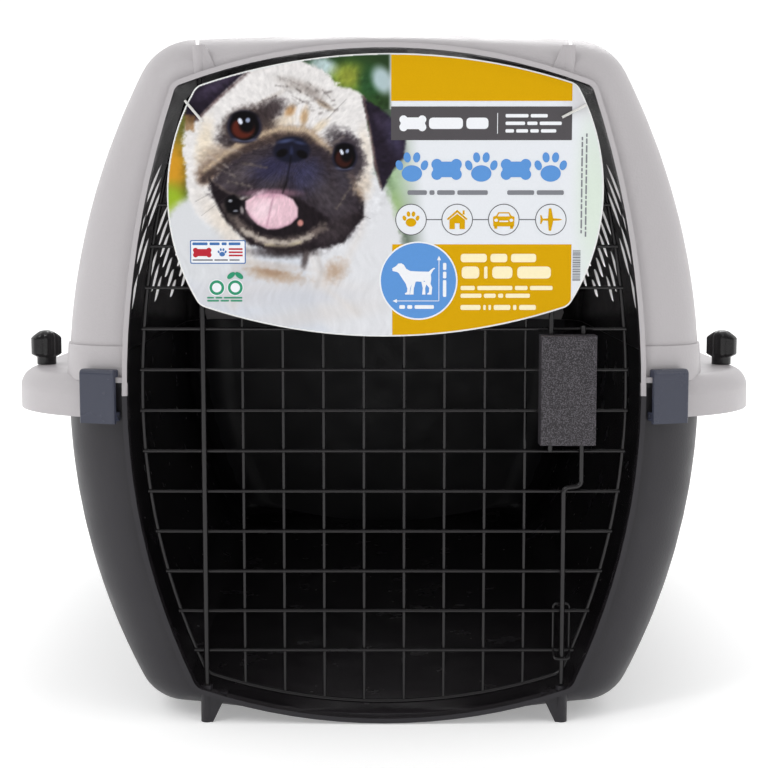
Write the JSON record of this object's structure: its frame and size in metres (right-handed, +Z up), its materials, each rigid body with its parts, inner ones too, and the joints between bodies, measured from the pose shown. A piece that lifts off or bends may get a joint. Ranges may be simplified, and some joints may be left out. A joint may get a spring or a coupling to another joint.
{
  "type": "pet transport carrier",
  "caption": "Plastic pet carrier: upper and lower shells joined by wing nuts and corner clips, hinged wire-grid door with latch rods, folding carry handle, slanted vents, hanging card.",
  "frame": {"origin": "on the floor, at the centre of the whole carrier's footprint", "axes": "+X to the right seen from the door, +Y from the door to the back, +Z up"},
  "size_m": [0.472, 0.665, 0.419],
  "materials": {
    "lower_shell": "fine grain, satin",
    "upper_shell": "fine metallic grain outside, black inside",
    "handle": "satin",
    "wire": "gloss black coating",
    "steel": "zinc plated",
    "latch_box": "fine texture",
    "clip": "satin",
    "knob": "satin",
    "bolt_plastic": "satin",
    "card": "glossy printed card",
    "nylon": "translucent white"
  },
  "bodies": {
    "carrier": {"bottom_shell": "lower_shell", "top_shell": "upper_shell", "handle_pivot_pins": "handle", "flange_bolts": "bolt_plastic"},
    "handle": {"carry_handle": "handle"},
    "door": {"door_perimeter_wire": "wire", "door_horizontal_wires": "wire", "door_vertical_wires": "wire", "door_hinge_rod": "wire", "latch_cover": "latch_box", "latch_back_plate": "latch_box", "latch_screws": "steel", "latch_rod_guides": "wire", "hang_card": "card", "card_tie_left": "nylon", "card_tie_right": "nylon", "lower_latch_spring": "steel", "upper_latch_spring": "steel"},
    "lower_latch": {"lower_latch_rod": "wire", "lower_rod_collar": "steel"},
    "upper_latch": {"upper_latch_rod": "wire", "upper_rod_collar": "steel"},
    "clip_left": {"front_latch_left": "clip", "front_latch_pin_left": "steel"},
    "clip_right": {"front_latch_right": "clip", "front_latch_pin_right": "steel"},
    "nut_front_left": {"wing_nut_front_left": "knob"},
    "nut_front_right": {"wing_nut_front_right": "knob"},
    "nut_rear_left": {"wing_nut_rear_left": "knob"},
    "nut_rear_right": {"wing_nut_rear_right": "knob"}
  },
  "joints": [
    {"name": "door_hinge", "type": "hinge", "parent": "carrier", "child": "door", "pos_m": [-0.109, -0.3196, 0.2], "axis": [0, 0, 1], "range_deg": [-90, 0]},
    {"name": "lower_latch_slide", "type": "slide", "parent": "door", "child": "lower_latch", "axis": [0, 0, -1], "range_m": [0, 0.012], "deforming": ["lower_latch_spring"]},
    {"name": "upper_latch_slide", "type": "slide", "parent": "door", "child": "upper_latch", "axis": [0, 0, 1], "range_m": [0, 0.012], "deforming": ["upper_latch_spring"]},
    {"name": "handle_hinge", "type": "hinge", "parent": "carrier", "child": "handle", "pos_m": [0, -0.0145, 0.409], "axis": [0, 1, 0], "range_deg": [0, 100]},
    {"name": "clip_left_hinge", "type": "hinge", "parent": "carrier", "child": "clip_left", "pos_m": [-0.17029, -0.32289, 0.19], "axis": [0.9511, -0.309, 0], "range_deg": [0, 60]},
    {"name": "clip_right_hinge", "type": "hinge", "parent": "carrier", "child": "clip_right", "pos_m": [0.17029, -0.32289, 0.19], "axis": [0.9511, 0.309, 0], "range_deg": [0, 60]},
    {"name": "nut_front_left_turn", "type": "hinge", "parent": "carrier", "child": "nut_front_left", "pos_m": [-0.2215, -0.237, 0.222], "axis": [0, 0, 1], "continuous": true},
    {"name": "nut_front_right_turn", "type": "hinge", "parent": "carrier", "child": "nut_front_right", "pos_m": [0.2215, -0.237, 0.222], "axis": [0, 0, 1], "continuous": true},
    {"name": "nut_rear_left_turn", "type": "hinge", "parent": "carrier", "child": "nut_rear_left", "pos_m": [-0.2215, 0.233, 0.222], "axis": [0, 0, 1], "continuous": true},
    {"name": "nut_rear_right_turn", "type": "hinge", "parent": "carrier", "child": "nut_rear_right", "pos_m": [0.2215, 0.233, 0.222], "axis": [0, 0, 1], "continuous": true}
  ]
}
